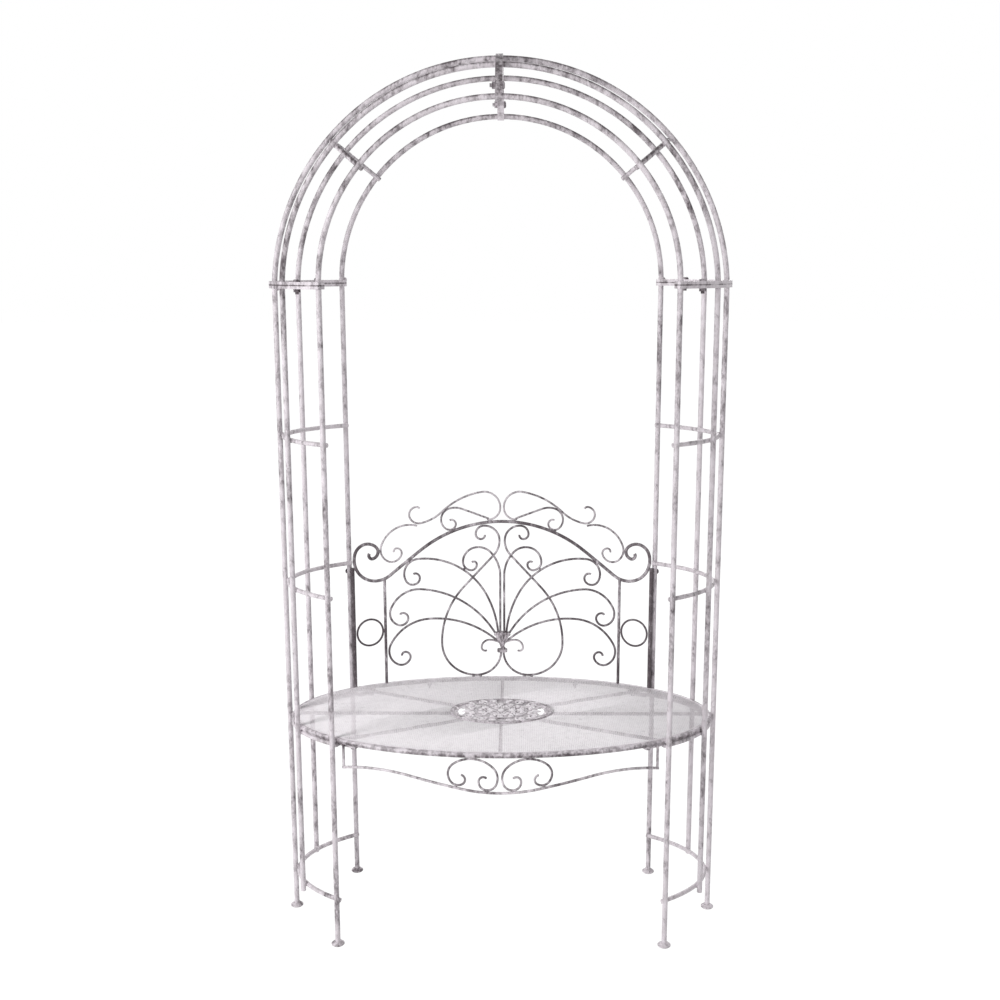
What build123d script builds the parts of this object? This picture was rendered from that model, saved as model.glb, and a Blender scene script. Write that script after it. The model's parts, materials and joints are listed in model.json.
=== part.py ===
from build123d import *
import math
import os
from collections import namedtuple

import numpy as np

# A garden trellis arch with an oval bench in its foot, welded from round and flat steel bar.
# Millimetres. +X is to the right seen from the front, -Y the front, +Z up.
# The origin is on the ground, under the middle of the seat.

# Plan of the rods: five to a side, on one oval
HALF_WIDTH = 500.0
HALF_DEPTH = 264.0
LEG_REACH = 375.0
INFILL_REACH = 465.0
LEG_ANGLE = math.degrees(math.acos(LEG_REACH / HALF_WIDTH))
INFILL_ANGLE = math.degrees(math.acos(INFILL_REACH / HALF_WIDTH))

# Heights
FOOT_HEIGHT = 8.0
FOOT_RING_HEIGHT = 105.0
SEAT_HEIGHT = 500.0
BACK_RING_HEIGHT = 820.0
UPPER_RING_HEIGHT = 1159.0
SPRING_HEIGHT = 1495.0
LEG_HOOP_RISE = 375.0
INFILL_HOOP_RISE = 448.0
MIDDLE_HOOP_RISE = 475.0
CROSS_SLOPE = math.radians(40)
CROWN_SETTLE = 3.0

# Bar sizes, as radii
ROD = 6.0
RING = 5.0
CROSS_BAR = 5.0
RIM = 6.0
RIB = 4.0
BACK_POST = 5.0
BACK_SLAT = 3.6
TOP_RAIL = 4.0
SCROLL = 2.75
CREST = 2.5
APRON_BAR = 3.0
WELD_GAP = 0.1

# Flat flange bars
FLANGE_WIDTH = 20.0
FLANGE_THICKNESS = 7.5

# How far bars run on past the last bar that they are welded to
FLANGE_OVERHANG = 8.0
CROWN_OVERHANG = 2.0
CROSS_OVERHANG = 5.0
RING_OVERHANG = 1.0
SEAT_RING_OVERHANG = 5.0
INFILL_TAIL = 8.0

# Feet
FOOT_RADIUS = 15.0
FOOT_TOP_RADIUS = 9.0
FOOT_CHAMFER = 1.5
FOOT_EDGE = 3.0

# Fasteners
BOLT = 3.9
BOLT_HOLE = 4.2
BOLT_HEAD = 8.0
BOLT_HEAD_HEIGHT = 5.0
BOLT_TAIL = 11.0
BOLT_SHARE = 0.7
NUT_RADIUS = 7.5
NUT_HEIGHT = 6.5
SMALL_BOLT = 2.9
SMALL_HOLE = 3.1
SMALL_HEAD = 6.5
SMALL_HEAD_HEIGHT = 4.0
HEX_RADIUS = 5.8
HEAD_FLAT = 1.0

# Seat
MESH_THICKNESS = 1.5
MESH_STEP = 3.8
MESH_PITCH = 78.0
MESH_OPENING = 66.0
MESH_ROWS = 6
MESH_COLUMNS = 12
MESH_BORDER = 8.0
SMALLEST_OPENING = 200.0
ROSETTE_HALF_WIDTH = 120.0
ROSETTE_HALF_DEPTH = 78.0
ROSETTE_BAND = 9.0
ROSETTE_PLATE = 2.0
ROSETTE_RELIEF = 3.5
ROSETTE_OVAL_WIDTH = 62.0
ROSETTE_OVAL_DEPTH = 50.0
ROSETTE_STRAP = 5.0
ROSETTE_PETALS = 8
PETAL_LENGTH = 34.0
PETAL_WIDTH = 13.0
PETAL_REACH = 22.0
HUB_RADIUS = 9.0
EYE_REACH = 93.0
EYE_LENGTH = 18.0
EYE_WIDTH = 48.0
PIERCING = 4.5
PIERCINGS = 20
TAB_THICKNESS = 4.0
TAB_WIDTH = 17.0
TAB_LENGTH = 24.0
TAB_REACH = 40.0
SEAT_BOLT_LENGTH = 9.6
REAR_TAB_REACH = 187.0
REAR_TAB_WIDTH = 12.0
REAR_TAB_DROP = 17.0

# Backrest, measured along the curve of the rear rim from its middle
BACK_POST_TOP = 806.0
BACK_SLAT_REACH = 297.5
BACK_BOLT_HEIGHT = 796.0
POST_TURN = 18.0
SIDE_RING_HEIGHT = 637.0
CALYX_TOP = 618.0
CALYX_FOOT = 574.0
CALYX_WAIST = 592.0
CALYX_FOOT_WIDTH = 8.0
CALYX_WAIST_WIDTH = 18.0
CALYX_WIDTH = 40.0
CALYX_DEPTH = 11.0
CALYX_FLARE = 0.3
COLLAR_WIDTH = 26.0
COLLAR_HEIGHT = 8.0
COLLAR_DEPTH = 13.0
APRON_POST_REACH = 365.0

# How far each line of bars lies inside the line of the rods
RING_INSET = ROD + RING + WELD_GAP
RIM_INSET = ROD + RIM + 2 * WELD_GAP
MESH_INSET = RIM_INSET + MESH_STEP
RIB_INSET = RIM_INSET + 3 * RIM / 4
BACK_STEP = 2.5
BACK_INSET = RIM_INSET + BACK_STEP
LOOP_INSET = BACK_INSET - 2 * SCROLL - 2 * WELD_GAP
CURL_INSET = BACK_INSET - 2 * CREST - 2 * WELD_GAP
POST_OFFSET = ROD + BACK_POST + 2 * WELD_GAP

RIM_HEIGHT = SEAT_HEIGHT - RIM
SEAT_RING_HEIGHT = RIM_HEIGHT - RIM - RING
MESH_BASE = RIM_HEIGHT + math.sqrt(RIM**2 - MESH_STEP**2) + WELD_GAP
RIB_HEIGHT = MESH_BASE - WELD_GAP - RIB
TAB_STEP = 4.0
TAB_INSET = RIM_INSET + TAB_STEP
TAB_TOP = RIM_HEIGHT - math.sqrt(RIM**2 - TAB_STEP**2) - 2 * WELD_GAP

# A scroll is bent from bar as a chain of arcs. It starts at a distance along the rim and a height,
# sets off at a heading in degrees, 0 being outwards and 90 up, and each bend has a radius and a turn
# in degrees, to the left where positive. A turn of 0 is a straight run of that length.
Scroll = namedtuple("Scroll", "start heading bends")

TOP_RAIL_HALF = Scroll((0, 906), 0, [(340, -37), (97, 0), (58, 138), (33, 126), (17, 117), (9, 140)])
CREST_LOOP = Scroll(
    (34.5, 911), 180, [(30, -85), (40, -104), (190, -34), (104, 33), (25, 80), (19, 107), (9, 62)]
)
CREST_TAIL = Scroll((213, 900), 18, [(73, -88), (33, -82), (25, -98), (13, -108), (7.5, -104)])
CREST_CURL = Scroll((35, 913), 21, [(70, 0), (50, -36), (29, -126), (16.5, -93), (12, -86), (10, -68)])
FAN_CENTRE = Scroll(
    (5, 600), 90, [(166, 0), (90, -42), (43, -62), (37, -77), (22, -80), (14, -108), (7.5, -123)]
)
FAN_HIGH = Scroll((10, 610), 87, [(256, -26), (184, -64), (37, -118), (19.5, -94), (15, -82), (11, -90)])
FAN_MID = Scroll((11, 603), 63, [(248, -57), (75, -72), (33.5, -93), (18.5, -93), (14.5, -107), (7, -62)])
FAN_LOW = Scroll((14, 597), 41, [(252, -43), (115, -58), (40, -93), (23, -93), (14, -107), (9, -94)])
HEART_LOOP = Scroll(
    (3.2, 563),
    -88,
    [(62, 89), (89, 88), (208, 44), (112, 0), (55, -45), (38, -90), (21, -90), (13, -90), (10, -90)],
)
CALYX_CURL = Scroll((8, 592), 25, [(62, -23), (20, -91), (9, -121)])
APRON_RAIL_HALF = Scroll((0, 407), 0, [(450, 11), (114.5, 0), (385, -25)])
APRON_SCROLL = Scroll(
    (85, 447.9),
    192,
    [
        (11.5, 134),
        (19.6, 84),
        (28.8, 94),
        (66.8, 81),
        (35.4, 70),
        (21.2, 68),
        (18.7, 98),
        (10.1, 104),
        (6, 30),
    ],
)

# Longest span and widest turn of one pair of arcs along a bent bar, steps along curves, and small shares
LONGEST_SPAN = 70.0
WIDEST_TURN = 60.0
OVAL_STEP = 12.0
FINE_STEP = 0.1
RAIL_STEP = 1.0
IN_LINE = 1e-6
NO_BOW = 1e-9

os.makedirs("parts", exist_ok=True)


def save(piece, name):
    """Label a finished piece and write it."""
    piece.part.label = name
    export_step(piece.part, f"parts/{name}.step")


def save_pair(right, name):
    """Write a right-hand piece and its mirror image on the left."""
    save(right, f"right_{name}")
    with BuildPart() as left:
        mirror(right.part, about=Plane.YZ)
    save(left, f"left_{name}")


def save_group(right, name):
    """Write a right-hand piece and its mirror image as one group."""
    with BuildPart() as group:
        add(right.part)
        mirror(right.part, about=Plane.YZ)
    save(group, name)


def oval_point(angle, inset):
    """Plan position on the rods' oval at an angle in degrees, moved inwards, and the way along it."""
    turn = math.radians(angle)
    along = Vector(-HALF_WIDTH * math.sin(turn), HALF_DEPTH * math.cos(turn)).normalized()
    outwards = Vector(along.Y, -along.X)
    place = Vector(HALF_WIDTH * math.cos(turn), HALF_DEPTH * math.sin(turn)) - outwards * inset
    return place, along


def with_overhangs(stations, before, after):
    """Stations with a straight overhang added at each end."""
    start, first_way = stations[0]
    end, last_way = stations[-1]
    return [(start - first_way * before, first_way), *stations, (end + last_way * after, last_way)]


def oval_stations(first, last, inset, height):
    """Stations of point and direction along the oval, level at a height."""
    count = math.ceil(abs(last - first) / OVAL_STEP) + 1
    stations = []
    for angle in np.linspace(first, last, count):
        place, along = oval_point(angle, inset)
        stations.append((Vector(place.X, place.Y, height), along))
    return stations


def oval_lengths(inset):
    """Angles from the middle of the rear to the side, and the distance along the inset curve at each."""
    angles = np.arange(90, -FINE_STEP / 2, -FINE_STEP)
    places = np.array([tuple(oval_point(angle, inset)[0]) for angle in angles])
    lengths = np.concatenate([[0], np.cumsum(np.linalg.norm(np.diff(places, axis=0), axis=1))])
    return angles, lengths


def oval_angle(distance, inset):
    """Angle on the oval at a distance from the middle of the rear, along the inset curve."""
    angles, lengths = oval_lengths(inset)
    return float(np.interp(distance, lengths, angles))


def oval_distance(angle, inset):
    """Distance from the middle of the rear to an angle on the oval, along the inset curve."""
    angles, lengths = oval_lengths(inset)
    return float(np.interp(-angle, -angles, lengths))


def bend_stations(scroll, longest_span=LONGEST_SPAN):
    """Distance, height and heading at short spans along a scroll's chain of bends."""
    distance, height = scroll.start
    heading = math.radians(scroll.heading)
    stations = [(distance, height, heading)]
    for radius, turn in scroll.bends:
        length = radius * math.radians(abs(turn)) if turn else radius
        count = max(math.ceil(length / longest_span), math.ceil(abs(turn) / WIDEST_TURN))
        step = math.radians(turn) / count
        for _ in range(count):
            if turn:
                side = math.copysign(radius, turn)
                distance += side * (math.sin(heading + step) - math.sin(heading))
                height -= side * (math.cos(heading + step) - math.cos(heading))
                heading += step
            else:
                distance += length / count * math.cos(heading)
                height += length / count * math.sin(heading)
            stations.append((distance, height, heading))
    return stations


def rolled_stations(scroll, inset, front=False):
    """Stations of a scroll rolled round the rear of the oval, or round its front."""
    flip = -1 if front else 1
    stations = []
    for distance, height, heading in bend_stations(scroll):
        place, along = oval_point(oval_angle(distance, inset), inset)
        point = Vector(place.X, flip * place.Y, height)
        run = math.cos(heading)
        direction = Vector(-along.X * run, -flip * along.Y * run, math.sin(heading))
        stations.append((point, direction))
    return stations


def mirrored_through(stations):
    """The mirror image of a half bar, reversed, joined to the half bar at the middle."""
    other = [(Vector(-p.X, p.Y, p.Z), Vector(d.X, -d.Y, -d.Z)) for p, d in reversed(stations)]
    return other[:-1] + stations


def bend_path(stations):
    """Two tangent arcs from each station to the next, or a line where they are in line."""
    with BuildLine() as path:
        for (start, out), (end, into) in zip(stations, stations[1:]):
            reach = end - start
            if out.cross(reach).length + into.cross(reach).length < IN_LINE * reach.length:
                Line(start, end)
                continue
            both = out + into
            bow = 2 * (1 - out.dot(into))
            pull = reach.dot(both)
            if bow < NO_BOW:
                arm = reach.dot(reach) / (2 * pull)
            else:
                arm = (-pull + math.sqrt(pull * pull + bow * reach.dot(reach))) / bow
            middle = (start + out * arm + end - into * arm) * 0.5
            across = (end - into * arm - start - out * arm).normalized()
            TangentArc(start, middle, tangent=out)
            TangentArc(middle, end, tangent=across)
    return path.wires()[0]


def round_section(station, radius):
    """A round section square to the bar at a station."""
    with BuildSketch(Plane(origin=station[0], z_dir=station[1])) as section:
        Circle(radius)
    return section.sketch


def flat_section(station):
    """A flat bar's section, lying flat, square to the bar at a station."""
    across = (station[1].Y, -station[1].X, 0)
    with BuildSketch(Plane(origin=station[0], x_dir=across, z_dir=station[1])) as section:
        Rectangle(FLANGE_WIDTH, FLANGE_THICKNESS)
    return section.sketch


def bent_bar(stations, radius):
    """A round bar bent through stations."""
    with BuildPart() as bar:
        sweep(round_section(stations[0], radius), path=bend_path(stations))
    return bar


def vertical_bar(place, bottom, top, radius):
    """A straight vertical bar at a place in plan."""
    with BuildPart() as bar:
        with Locations((place.X, place.Y, bottom)):
            Cylinder(radius, top - bottom, align=(Align.CENTER, Align.CENTER, Align.MIN))
    return bar


def upright(angle, inset, bottom, top, radius):
    """A straight vertical bar at an angle on the oval."""
    return vertical_bar(oval_point(angle, inset)[0], bottom, top, radius)


# The right-hand rear leg, the way to it from the back post beside it, and that post's place
leg_place, leg_along = oval_point(LEG_ANGLE, 0)
post_way = Vector(leg_along.Y, -leg_along.X, 0).rotate(Axis.Z, -POST_TURN)
post_place = leg_place - post_way * POST_OFFSET


def back_bolt_place(distance):
    """A plane on the line from the back post to the rear leg, at a distance past the leg's axis."""
    origin = Vector(leg_place.X, leg_place.Y, BACK_BOLT_HEIGHT) + post_way * distance
    return Plane(origin=origin, x_dir=(0, 0, 1), z_dir=post_way)


# Side panels
flange_under = SPRING_HEIGHT - FLANGE_THICKNESS
front_leg = upright(-LEG_ANGLE, 0, FOOT_HEIGHT, flange_under, ROD)
middle_leg = upright(0, 0, FOOT_HEIGHT, flange_under, ROD)
back_bolt_hole = back_bolt_place(0)
plain_rear_leg = upright(LEG_ANGLE, 0, FOOT_HEIGHT, flange_under, ROD)
with BuildPart() as rear_leg:
    add(plain_rear_leg.part)
    with Locations(back_bolt_hole.location):
        Cylinder(SMALL_HOLE, 3 * ROD, mode=Mode.SUBTRACT)
save_pair(front_leg, "front_leg")
save_pair(middle_leg, "middle_leg")
save_pair(rear_leg, "rear_leg")

infill_bottom = FOOT_RING_HEIGHT - RING - INFILL_TAIL
with BuildPart() as infill_rods:
    for angle in (-INFILL_ANGLE, INFILL_ANGLE):
        add(upright(angle, 0, infill_bottom, flange_under, ROD).part)
save_pair(infill_rods, "infill_rods")

ring_heights = {
    "foot_ring": FOOT_RING_HEIGHT,
    "seat_ring": SEAT_RING_HEIGHT,
    "back_ring": BACK_RING_HEIGHT,
    "upper_ring": UPPER_RING_HEIGHT,
}
rings = {}
for name, height in ring_heights.items():
    overhang = SEAT_RING_OVERHANG if name == "seat_ring" else RING_OVERHANG
    ring_line = oval_stations(-LEG_ANGLE, LEG_ANGLE, RING_INSET, height)
    rings[name] = bent_bar(with_overhangs(ring_line, overhang, overhang), RING)
    save_pair(rings[name], name)

# The two flat flanges at the spring of the arch, one over the other, with their bolt holes
bolt_angle = (LEG_ANGLE + INFILL_ANGLE) / 2
spring_bolts = [oval_point(angle, 0)[0] for angle in (-bolt_angle, bolt_angle)]
for name, height in (("panel_flange", flange_under), ("arch_flange", SPRING_HEIGHT)):
    flange_middle = height + FLANGE_THICKNESS / 2
    flange_line = oval_stations(-LEG_ANGLE, LEG_ANGLE, 0, flange_middle)
    flange_line = with_overhangs(flange_line, FLANGE_OVERHANG, FLANGE_OVERHANG)
    with BuildPart() as flange:
        sweep(flat_section(flange_line[0]), path=bend_path(flange_line))
        with Locations(*[(spot.X, spot.Y, height) for spot in spring_bolts]):
            Cylinder(BOLT_HOLE, 3 * FLANGE_THICKNESS, mode=Mode.SUBTRACT)
    save_pair(flange, name)

# Feet, turned
with BuildPart() as foot:
    with BuildSketch(Plane.XZ):
        with BuildLine():
            Polyline(
                (0, FOOT_HEIGHT),
                (0, 0),
                (FOOT_RADIUS - FOOT_CHAMFER, 0),
                (FOOT_RADIUS, FOOT_CHAMFER),
                (FOOT_RADIUS, FOOT_EDGE),
                (FOOT_TOP_RADIUS, FOOT_HEIGHT),
                close=True,
            )
        make_face()
    revolve(axis=Axis.Z)
foot_places = [oval_point(angle, 0)[0] for angle in (-LEG_ANGLE, 0, LEG_ANGLE)]
with BuildPart() as right_feet:
    with Locations(*[(place.X, place.Y, 0) for place in foot_places]):
        add(foot.part)
save_group(right_feet, "feet")

# Arch halves: quarter hoops cut square on the spring flange and on the crown bar
Hoop = namedtuple("Hoop", "reach rise")
HOOP_STATIONS = 4
leg_depth = HALF_DEPTH * math.sin(math.radians(LEG_ANGLE))
infill_depth = HALF_DEPTH * math.sin(math.radians(INFILL_ANGLE))
LEG_HOOP = Hoop(LEG_REACH, LEG_HOOP_RISE)
INFILL_HOOP = Hoop(INFILL_REACH, INFILL_HOOP_RISE)
MIDDLE_HOOP = Hoop(HALF_WIDTH, MIDDLE_HOOP_RISE)


def hoop_circle(hoop):
    """Radius of a hoop that is level at the crown, and its centre's height over the spring line."""
    radius = (hoop.reach**2 + hoop.rise**2) / (2 * hoop.rise)
    return radius, hoop.rise - radius


def quarter_hoop(hoop, depth):
    """A quarter hoop standing in a plane across the arch at a depth."""
    radius, centre = hoop_circle(hoop)
    first = math.asin(-centre / radius)
    stations = []
    for turn in np.linspace(first, math.pi / 2, HOOP_STATIONS):
        point = Vector(radius * math.cos(turn), depth, SPRING_HEIGHT + centre + radius * math.sin(turn))
        stations.append((point, Vector(-math.sin(turn), 0, math.cos(turn))))
    with BuildPart() as bar:
        sweep(round_section(stations[0], ROD), path=bend_path(stations))
        split(bisect_by=Plane.XY.offset(SPRING_HEIGHT + FLANGE_THICKNESS), keep=Keep.TOP)
        split(bisect_by=Plane.YZ.offset(FLANGE_THICKNESS), keep=Keep.TOP)
    return bar


save_pair(quarter_hoop(LEG_HOOP, -leg_depth), "front_hoop")
save_pair(quarter_hoop(MIDDLE_HOOP, 0), "middle_hoop")
save_pair(quarter_hoop(LEG_HOOP, leg_depth), "rear_hoop")
with BuildPart() as infill_hoops:
    for depth in (-infill_depth, infill_depth):
        add(quarter_hoop(INFILL_HOOP, depth).part)
save_pair(infill_hoops, "infill_hoops")


def slope_reach(hoop):
    """Distance from the middle of the spring line to a hoop, along the cross bar's slope."""
    radius, centre = hoop_circle(hoop)
    slant = centre * math.sin(CROSS_SLOPE)
    return slant + math.sqrt(slant**2 + radius**2 - centre**2)


# Cross bar part of the way up each arch half, under the hoops
middle_reach = slope_reach(MIDDLE_HOOP)
infill_reach = slope_reach(INFILL_HOOP)
leg_reach = slope_reach(LEG_HOOP)
bow_centre = (middle_reach**2 - leg_reach**2 - leg_depth**2) / (2 * (middle_reach - leg_reach))
hoop_spots = [
    (-leg_depth, leg_reach),
    (-infill_depth, infill_reach),
    (0, middle_reach),
    (infill_depth, infill_reach),
    (leg_depth, leg_reach),
]
cross_stations = []
for depth, reach in hoop_spots:
    outwards = Vector(depth, reach - bow_centre).normalized()
    spot = Vector(depth, reach) - outwards * (ROD + CROSS_BAR + 2 * WELD_GAP)
    slope = Vector(math.cos(CROSS_SLOPE), 0, math.sin(CROSS_SLOPE))
    point = slope * spot.Y + Vector(0, spot.X, SPRING_HEIGHT)
    cross_stations.append((point, Vector(0, outwards.Y, 0) - slope * outwards.X))
cross_stations = with_overhangs(cross_stations, CROSS_OVERHANG, CROSS_OVERHANG)
save_pair(bent_bar(cross_stations, CROSS_BAR), "cross_bar")

# Crown bars, flat, back to back in the middle of the arch
crown_drop = MIDDLE_HOOP_RISE - LEG_HOOP_RISE
crown_radius = (leg_depth**2 + crown_drop**2) / (2 * crown_drop)
crown_centre = SPRING_HEIGHT + MIDDLE_HOOP_RISE - CROWN_SETTLE - crown_radius
crown_leg = math.degrees(math.asin(leg_depth / crown_radius))
crown_infill = math.degrees(math.asin(infill_depth / crown_radius))
crown_end = crown_leg + math.degrees(CROWN_OVERHANG / crown_radius)
crown_bolt = math.radians(crown_infill + BOLT_SHARE * (crown_leg - crown_infill))
crown_bolt_depth = crown_radius * math.sin(crown_bolt)
crown_bolt_height = crown_centre + crown_radius * math.cos(crown_bolt)
crown_bolts = [Vector(0, side * crown_bolt_depth, crown_bolt_height) for side in (-1, 1)]
with BuildPart() as crown_bar:
    with BuildSketch(Plane.YZ):
        with BuildLine():
            CenterArc((0, crown_centre), crown_radius, 90 - crown_end, 2 * crown_end)
        trace(line_width=FLANGE_WIDTH)
    extrude(amount=FLANGE_THICKNESS)
    with Locations(*[Location(spot, (0, 90, 0)) for spot in crown_bolts]):
        Cylinder(BOLT_HOLE, 3 * FLANGE_THICKNESS, mode=Mode.SUBTRACT)
save_pair(crown_bar, "crown_bar")

# Flange bolts with domed heads, and their nuts, at the spring line and at the crown
with BuildPart() as flange_bolt:
    with Locations((0, 0, -FLANGE_THICKNESS - BOLT_TAIL)):
        Cylinder(BOLT, 2 * FLANGE_THICKNESS + BOLT_TAIL, align=(Align.CENTER, Align.CENTER, Align.MIN))
    with Locations((0, 0, FLANGE_THICKNESS)):
        Cylinder(BOLT_HEAD, BOLT_HEAD_HEIGHT, align=(Align.CENTER, Align.CENTER, Align.MIN))
    fillet(flange_bolt.edges().sort_by(Axis.Z)[-1], BOLT_HEAD_HEIGHT - HEAD_FLAT)
with BuildPart() as flange_nut:
    with BuildSketch(Plane.XY.offset(-FLANGE_THICKNESS - NUT_HEIGHT)):
        RegularPolygon(NUT_RADIUS, 6)
        Circle(BOLT + WELD_GAP, mode=Mode.SUBTRACT)
    extrude(amount=NUT_HEIGHT)
flange_spots = [Location((side * p.X, p.Y, SPRING_HEIGHT)) for p in spring_bolts for side in (-1, 1)]
flange_spots += [Location(spot, (0, 90, 0)) for spot in crown_bolts]
with BuildPart() as flange_bolts:
    with Locations(*flange_spots):
        add(flange_bolt.part)
save(flange_bolts, "flange_bolts")
with BuildPart() as flange_nuts:
    with Locations(*flange_spots):
        add(flange_nut.part)
save(flange_nuts, "flange_nuts")

# Seat: rim, ribs, mesh and rosette
seat_rim = bent_bar(oval_stations(0, 360, RIM_INSET, RIM_HEIGHT), RIM)
save(seat_rim, "seat_rim")

rib_ends = [
    (HALF_WIDTH - RIM_INSET, 0),
    (LEG_REACH, leg_depth),
    (0, HALF_DEPTH - RIM_INSET),
    (-LEG_REACH, leg_depth),
    (-HALF_WIDTH + RIM_INSET, 0),
    (-LEG_REACH, -leg_depth),
    (0, -HALF_DEPTH + RIM_INSET),
    (LEG_REACH, -leg_depth),
]
with BuildPart() as seat_ribs:
    for x, y in rib_ends:
        way = Vector(x, y).normalized()
        inner = 1 / math.hypot(way.X / ROSETTE_HALF_WIDTH, way.Y / ROSETTE_HALF_DEPTH) - ROSETTE_BAND
        outer = 1 / math.hypot(way.X / (HALF_WIDTH - RIB_INSET), way.Y / (HALF_DEPTH - RIB_INSET))
        with Locations(Plane(origin=(way * inner) + Vector(0, 0, RIB_HEIGHT), z_dir=way).location):
            Cylinder(RIB, outer - inner, align=(Align.CENTER, Align.CENTER, Align.MIN))
    add(seat_rim.part, mode=Mode.SUBTRACT)
save(seat_ribs, "seat_ribs")

# The mesh is a sheet with a plain grid of openings, laid on the rim and ribs, notched round the back bars
slat_angle = oval_angle(BACK_SLAT_REACH, BACK_INSET)
mesh_top = MESH_BASE + MESH_THICKNESS
with BuildSketch(Plane.XY.offset(MESH_BASE)) as openings:
    with GridLocations(MESH_PITCH, MESH_PITCH, MESH_COLUMNS, MESH_ROWS):
        Rectangle(MESH_OPENING, MESH_OPENING)
    inner_edge = bend_path(oval_stations(0, 360, MESH_INSET + MESH_BORDER, 0))
    make_face(inner_edge.edges(), mode=Mode.INTERSECT)
    Ellipse(ROSETTE_HALF_WIDTH + MESH_BORDER, ROSETTE_HALF_DEPTH + MESH_BORDER, mode=Mode.SUBTRACT)
notches = [
    upright(slat_angle, BACK_INSET, MESH_BASE, mesh_top, BACK_SLAT + WELD_GAP),
    vertical_bar(post_place, MESH_BASE, mesh_top, BACK_POST + WELD_GAP),
]
with BuildPart() as seat_mesh:
    with BuildSketch(Plane.XY.offset(MESH_BASE)):
        make_face(bend_path(oval_stations(0, 360, MESH_INSET, 0)).edges())
        Ellipse(ROSETTE_HALF_WIDTH + WELD_GAP, ROSETTE_HALF_DEPTH + WELD_GAP, mode=Mode.SUBTRACT)
        for opening in openings.faces():
            if opening.area > SMALLEST_OPENING:
                add(opening.moved(Location((0, 0, -MESH_BASE))), mode=Mode.SUBTRACT)
    extrude(amount=MESH_THICKNESS)
    for notch in notches:
        add(notch.part, mode=Mode.SUBTRACT)
        add(notch.part.mirror(Plane.YZ), mode=Mode.SUBTRACT)
save(seat_mesh, "seat_mesh")

# Rosette: a cast oval plate with a raised band, an inner oval, a flower, two eyes and a ring of piercings
piercing_width = (ROSETTE_OVAL_WIDTH + ROSETTE_HALF_WIDTH - ROSETTE_BAND) / 2
piercing_depth = (ROSETTE_OVAL_DEPTH + ROSETTE_HALF_DEPTH - ROSETTE_BAND) / 2
piercing_turns = [2 * math.pi * (i + 0.5) / PIERCINGS for i in range(PIERCINGS)]
piercing_spots = [
    (piercing_width * math.cos(turn), piercing_depth * math.sin(turn))
    for turn in piercing_turns
    if abs(piercing_width * math.cos(turn)) < EYE_REACH - EYE_LENGTH / 2
]
with BuildPart() as seat_rosette:
    with BuildSketch(Plane.XY.offset(MESH_BASE)):
        Ellipse(ROSETTE_HALF_WIDTH, ROSETTE_HALF_DEPTH)
        with Locations((-EYE_REACH, 0), (EYE_REACH, 0)):
            Ellipse(EYE_LENGTH / 2, EYE_WIDTH / 2, mode=Mode.SUBTRACT)
        with Locations(*piercing_spots):
            Circle(PIERCING, mode=Mode.SUBTRACT)
    extrude(amount=ROSETTE_PLATE)
    with BuildSketch(Plane.XY.offset(MESH_BASE)):
        Ellipse(ROSETTE_HALF_WIDTH, ROSETTE_HALF_DEPTH)
        Ellipse(ROSETTE_HALF_WIDTH - ROSETTE_BAND, ROSETTE_HALF_DEPTH - ROSETTE_BAND, mode=Mode.SUBTRACT)
        Ellipse(ROSETTE_OVAL_WIDTH, ROSETTE_OVAL_DEPTH)
        Ellipse(ROSETTE_OVAL_WIDTH - ROSETTE_STRAP, ROSETTE_OVAL_DEPTH - ROSETTE_STRAP, mode=Mode.SUBTRACT)
        Circle(HUB_RADIUS)
        with PolarLocations(PETAL_REACH, ROSETTE_PETALS):
            Ellipse(PETAL_LENGTH / 2, PETAL_WIDTH / 2)
    extrude(amount=ROSETTE_RELIEF)
save(seat_rosette, "seat_rosette")

# Tabs that bolt the seat to the side panels' seat rings, and two small tabs under the rear rim
leg_inwards = Vector(-leg_along.Y, leg_along.X)


def tab_corners(first, last):
    """Corners of a tab in plan, from first to last along the rim from the rear leg."""
    near = leg_place + leg_inwards * TAB_INSET
    far = near + leg_inwards * TAB_WIDTH
    start = leg_along * first
    end = leg_along * last
    return [near + start, near + end, far + end, far + start]


tab_bolt = leg_place + leg_inwards * (TAB_INSET + TAB_WIDTH / 2) + leg_along * TAB_REACH
tab_first = TAB_REACH - TAB_LENGTH / 2
tab_last = TAB_REACH + TAB_LENGTH / 2
tab_spots = [Vector(tab_bolt.X, side * tab_bolt.Y) for side in (-1, 1)]


def tab_pair(first, top):
    """A front and a rear tab on the right-hand side, drilled for a bolt."""
    with BuildPart() as tabs:
        with BuildSketch(Plane.XY.offset(top - TAB_THICKNESS)):
            with BuildLine():
                Polyline(*[tuple(corner) for corner in tab_corners(first, tab_last)], close=True)
            make_face()
            with Locations((tab_bolt.X, tab_bolt.Y)):
                Circle(SMALL_HOLE, mode=Mode.SUBTRACT)
            mirror(about=Plane.XZ)
        extrude(amount=TAB_THICKNESS)
    return tabs


seat_corner_tabs = tab_pair(tab_first, TAB_TOP)
rear_tab_place, rear_tab_along = oval_point(oval_angle(REAR_TAB_REACH, RIM_INSET), RIM_INSET)
rear_tab_plane = Plane(
    origin=(rear_tab_place.X, rear_tab_place.Y, RIM_HEIGHT - RIM),
    x_dir=rear_tab_along,
    z_dir=(-rear_tab_along.Y, rear_tab_along.X, 0),
)
with BuildPart() as seat_tabs:
    add(seat_corner_tabs.part)
    add(seat_rim.part, mode=Mode.SUBTRACT)
    with BuildSketch(rear_tab_plane):
        with BuildLine():
            drop = REAR_TAB_DROP if rear_tab_plane.y_dir.Z < 0 else -REAR_TAB_DROP
            Polyline((-REAR_TAB_WIDTH / 2, 0), (REAR_TAB_WIDTH / 2, 0), (0, drop), close=True)
        make_face()
    extrude(amount=TAB_THICKNESS / 2, both=True)
save_group(seat_tabs, "seat_tabs")

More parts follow.
